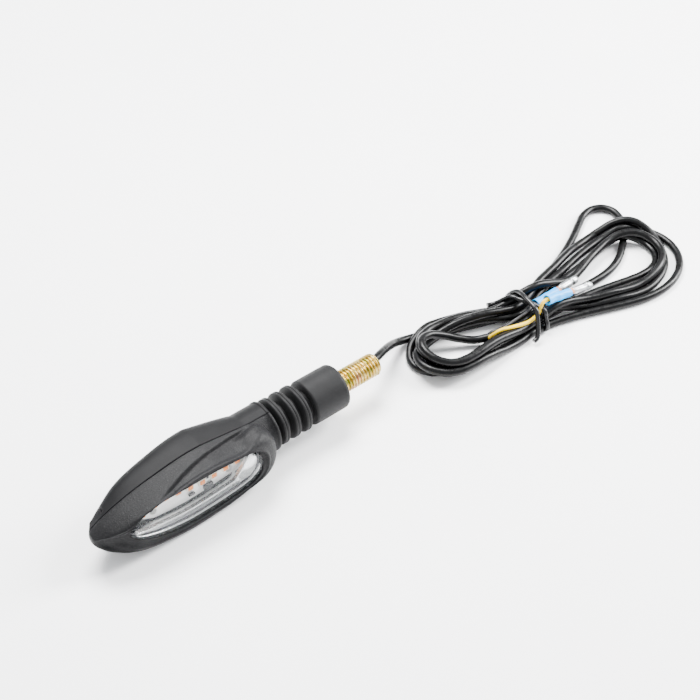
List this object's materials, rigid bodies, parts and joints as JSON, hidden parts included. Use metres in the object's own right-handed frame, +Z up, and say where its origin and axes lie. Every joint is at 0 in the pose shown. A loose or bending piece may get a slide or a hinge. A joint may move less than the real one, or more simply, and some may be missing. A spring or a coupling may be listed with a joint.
{
  "type": "motorcycle turn signal indicator",
  "caption": "LED turn signal lamp with a leaf-shaped lens on a flexible rubber stem, a hollow threaded stud and a hanked lead with bullet terminals.",
  "frame": {"origin": "centre of the indicator's own box, on the surface it lies on (the free lead is not counted)", "axes": "+X along the stem from the lamp's tip to the stud's end, -Y out of the lens, +Z up"},
  "size_m": [0.3095, 0.061, 0.0293],
  "materials": {
    "housing_plastic": "satin",
    "cover_plastic": "grained",
    "stem_rubber": "matt",
    "lens_clear": "clear",
    "seal_rubber": "matt",
    "reflector_chrome": "vacuum plated",
    "board_white": "white solder mask",
    "led_amber": "phosphor gel",
    "component_black": "moulded",
    "stud_zinc": "yellow zinc",
    "lead_sheath": "satin",
    "core_yellow": "satin",
    "core_black": "satin",
    "crimp_blue": "satin",
    "terminal_tin": "tin plated"
  },
  "bodies": {
    "stud": {"threaded_stud": "stud_zinc", "stem_sleeve": "stem_rubber", "lead_in_stud": "lead_sheath", "lead_cord": "lead_sheath", "lead_hank": "lead_sheath", "hank_tie": "component_black", "core_black": "core_black", "core_yellow": "core_yellow", "crimp_sleeve_1": "crimp_blue", "crimp_sleeve_2": "crimp_blue", "bullet_terminal_1": "terminal_tin", "bullet_terminal_2": "terminal_tin"},
    "rib_3": {"stem_rib_3": "stem_rubber", "lead_in_rib_3": "lead_sheath"},
    "rib_2": {"stem_rib_2": "stem_rubber", "lead_in_rib_2": "lead_sheath"},
    "rib_1": {"stem_rib_1": "stem_rubber", "lead_in_rib_1": "lead_sheath"},
    "lamp": {"rear_housing": "housing_plastic", "front_cover": "cover_plastic", "lens": "lens_clear", "lens_seal": "seal_rubber", "reflector": "reflector_chrome", "circuit_board": "board_white", "led_1": "led_amber", "led_2": "led_amber", "led_3": "led_amber", "led_4": "led_amber", "led_5": "led_amber", "led_6": "led_amber", "led_7": "led_amber", "led_8": "led_amber", "led_9": "led_amber", "resistor_1": "component_black", "resistor_2": "component_black", "resistor_3": "component_black", "resistor_4": "component_black", "driver_chip": "component_black", "polarity_diode": "component_black", "stem_plug": "stem_rubber", "lead_in_collar": "lead_sheath", "board_wire_yellow": "core_yellow", "board_wire_black": "core_black"}
  },
  "joints": [
    {"name": "stem_swing", "type": "hinge", "parent": "stud", "child": "rib_3", "pos_m": [0.03285, 0.00145, 0.0155], "axis": [0, 0, 1], "range_deg": [-10, 10], "stiffness_Nm_per_rad": 0.6},
    {"name": "stem_nod", "type": "hinge", "parent": "rib_3", "child": "rib_2", "pos_m": [0.02725, 0.00145, 0.0155], "axis": [0, 1, 0], "range_deg": [-10, 10], "stiffness_Nm_per_rad": 0.6},
    {"name": "stem_swing_outer", "type": "hinge", "parent": "rib_2", "child": "rib_1", "pos_m": [0.02165, 0.00145, 0.0155], "axis": [0, 0, 1], "range_deg": [-10, 10], "stiffness_Nm_per_rad": 0.6},
    {"name": "stem_nod_outer", "type": "hinge", "parent": "rib_1", "child": "lamp", "pos_m": [0.01605, 0.00145, 0.0155], "axis": [0, 1, 0], "range_deg": [-10, 10], "stiffness_Nm_per_rad": 0.6}
  ],
  "couplings": [
    {"joint": "stem_swing_outer", "follows": "stem_swing", "ratio": 1},
    {"joint": "stem_nod_outer", "follows": "stem_nod", "ratio": 1}
  ]
}
